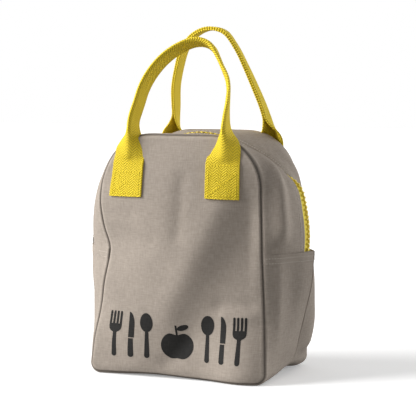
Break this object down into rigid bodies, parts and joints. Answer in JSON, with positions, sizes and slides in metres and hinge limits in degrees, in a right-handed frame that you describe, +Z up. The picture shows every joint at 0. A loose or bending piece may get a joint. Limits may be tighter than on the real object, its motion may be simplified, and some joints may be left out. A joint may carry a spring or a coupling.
{
  "type": "soft lunch bag",
  "caption": "Upright soft canvas lunch bag with boxed gusset, an arched zip mouth that opens into two leaning halves, and two folded webbing loop handles.",
  "frame": {"origin": "middle of the flat bottom, on the surface the bag stands on", "axes": "+Z up, +X to the right seen from the front, front panel facing -Y"},
  "size_m": [0.248, 0.1488, 0.3648],
  "materials": {
    "canvas": "matt plain-weave cotton canvas",
    "lining": "coated cotton lining, slightly shiny",
    "webbing": "matt herringbone cotton webbing",
    "zip_tape": "fine woven tape",
    "zip_teeth": "moulded plastic teeth, satin",
    "zip_slider": "enamelled die-cast metal"
  },
  "bodies": {
    "base": {"front_panel_lower": "canvas", "back_panel_lower": "canvas", "gusset_lower": "canvas", "zipper_strip_ends": "canvas", "lining_lower": "lining", "zipper_chain_ends": "zip_teeth", "zipper_tape_ends": "zip_tape", "zipper_top_stops": "zip_teeth", "zipper_bottom_stop": "zip_teeth"},
    "front_flap": {"front_panel_upper": "canvas", "zipper_strip_front": "canvas", "zipper_tape_front": "zip_tape", "zipper_chain_front": "zip_teeth", "lining_front_upper": "lining", "lining_strip_front": "lining", "front_tab_left": "webbing", "front_tab_right": "webbing"},
    "back_flap": {"back_panel_upper": "canvas", "zipper_strip_back": "canvas", "zipper_tape_back": "zip_tape", "zipper_chain_back": "zip_teeth", "lining_back_upper": "lining", "lining_strip_back": "lining", "back_tab_left": "webbing", "back_tab_right": "webbing"},
    "front_handle": {"front_handle": "webbing"},
    "back_handle": {"back_handle": "webbing"},
    "slider": {"zipper_slider": "zip_slider"},
    "pull": {"zipper_pull": "zip_slider"}
  },
  "joints": [
    {"name": "front_flap_hinge", "type": "hinge", "parent": "base", "child": "front_flap", "pos_m": [0, 0, 0.15], "axis": [1, 0, 0], "range_deg": [0, 30]},
    {"name": "back_flap_hinge", "type": "hinge", "parent": "base", "child": "back_flap", "pos_m": [0, 0, 0.15], "axis": [-1, 0, 0], "range_deg": [0, 30]},
    {"name": "front_handle_hinge", "type": "hinge", "parent": "front_flap", "child": "front_handle", "pos_m": [0, -0.0685, 0.226], "axis": [1, 0, 0], "range_deg": [-8, 165]},
    {"name": "back_handle_hinge", "type": "hinge", "parent": "back_flap", "child": "back_handle", "pos_m": [0, 0.0685, 0.226], "axis": [-1, 0, 0], "range_deg": [-8, 165]},
    {"name": "zip_slider_travel", "type": "hinge", "parent": "base", "child": "slider", "pos_m": [0, 0, 0.131], "axis": [0, 1, 0], "range_deg": [0, 173]},
    {"name": "pull_swing", "type": "hinge", "parent": "slider", "child": "pull", "pos_m": [-0.12248, 0, 0.13839], "axis": [0, 1, 0], "range_deg": [0, 150]}
  ]
}
